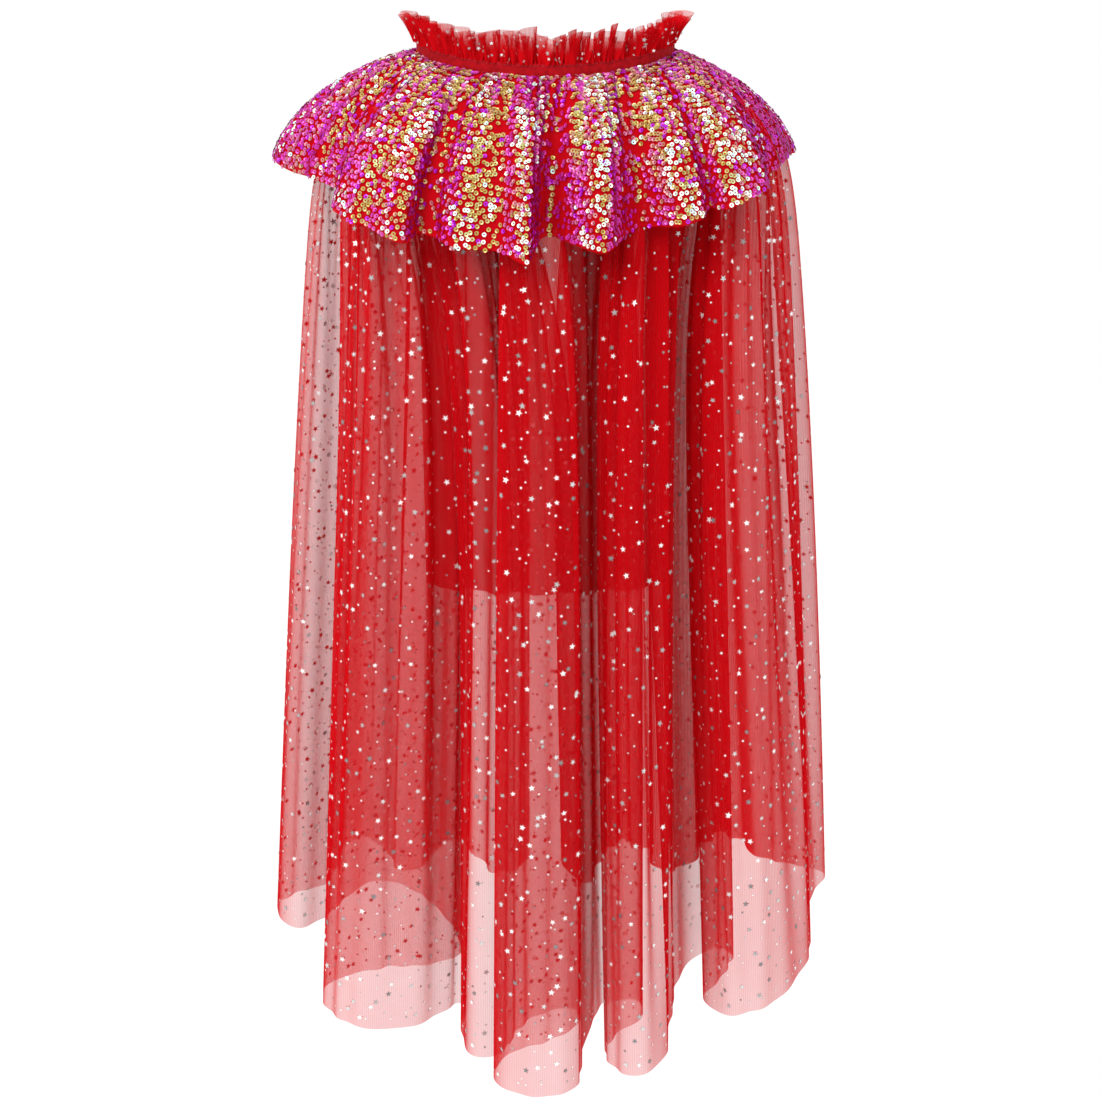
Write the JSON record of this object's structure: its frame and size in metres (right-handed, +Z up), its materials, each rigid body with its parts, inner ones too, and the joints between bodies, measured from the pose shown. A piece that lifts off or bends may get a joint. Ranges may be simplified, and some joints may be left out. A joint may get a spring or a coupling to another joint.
{
  "type": "superhero cape",
  "caption": "Child's gathered tulle cape with silver stars, a sequinned shoulder capelet, a velvet neckband with a ruffled stand-up collar and a front closure tab.",
  "frame": {"origin": "middle of the neck opening, at the mid height of the neckband at the back", "axes": "+Z up along the wearer's neck, +Y the way the wearer faces (the front opening), +X the wearer's right"},
  "size_m": [0.4342, 0.3402, 0.732],
  "materials": {
    "star_tulle": "sheer net with printed silver foil stars",
    "capelet_mesh": "fine red mesh",
    "sequins": "iridescent film, pink to gold",
    "plain_lining": "soft plain net",
    "velvet": "short pile velvet ribbon",
    "neck_tape": "matt woven tape",
    "thread": "polyester sewing thread",
    "hook_tape": "moulded hooks on woven tape",
    "loop_tape": "brushed loops on woven tape"
  },
  "bodies": {
    "neck_and_front": {"velvet_neckband": "velvet", "inner_neck_tape": "neck_tape", "band_top_stitching": "thread", "band_seam_stitching": "thread", "collar_outer_ruffle": "star_tulle", "collar_inner_ruffle": "star_tulle", "skirt_front_left": "star_tulle", "skirt_front_right": "star_tulle", "capelet_front_left": "capelet_mesh", "capelet_front_right": "capelet_mesh", "capelet_lining_front_left": "plain_lining", "capelet_lining_front_right": "plain_lining", "sequins_front_left": "sequins", "sequins_front_right": "sequins", "loop_tape": "loop_tape"},
    "back_drape": {"skirt_back": "star_tulle", "capelet_back": "capelet_mesh", "capelet_lining_back": "plain_lining", "sequins_back": "sequins", "back_lining_panel": "plain_lining"},
    "tab": {"closure_tab": "velvet", "hook_tape": "hook_tape"}
  },
  "joints": [
    {"name": "back_swing", "type": "hinge", "parent": "neck_and_front", "child": "back_drape", "pos_m": [0, -0.074, -0.0065], "axis": [-1, 0, 0], "range_deg": [0, 35]},
    {"name": "tab_peel", "type": "hinge", "parent": "neck_and_front", "child": "tab", "pos_m": [0.0117, 0.0599, -0.044], "axis": [0, 0, -1], "range_deg": [0, 110]}
  ]
}
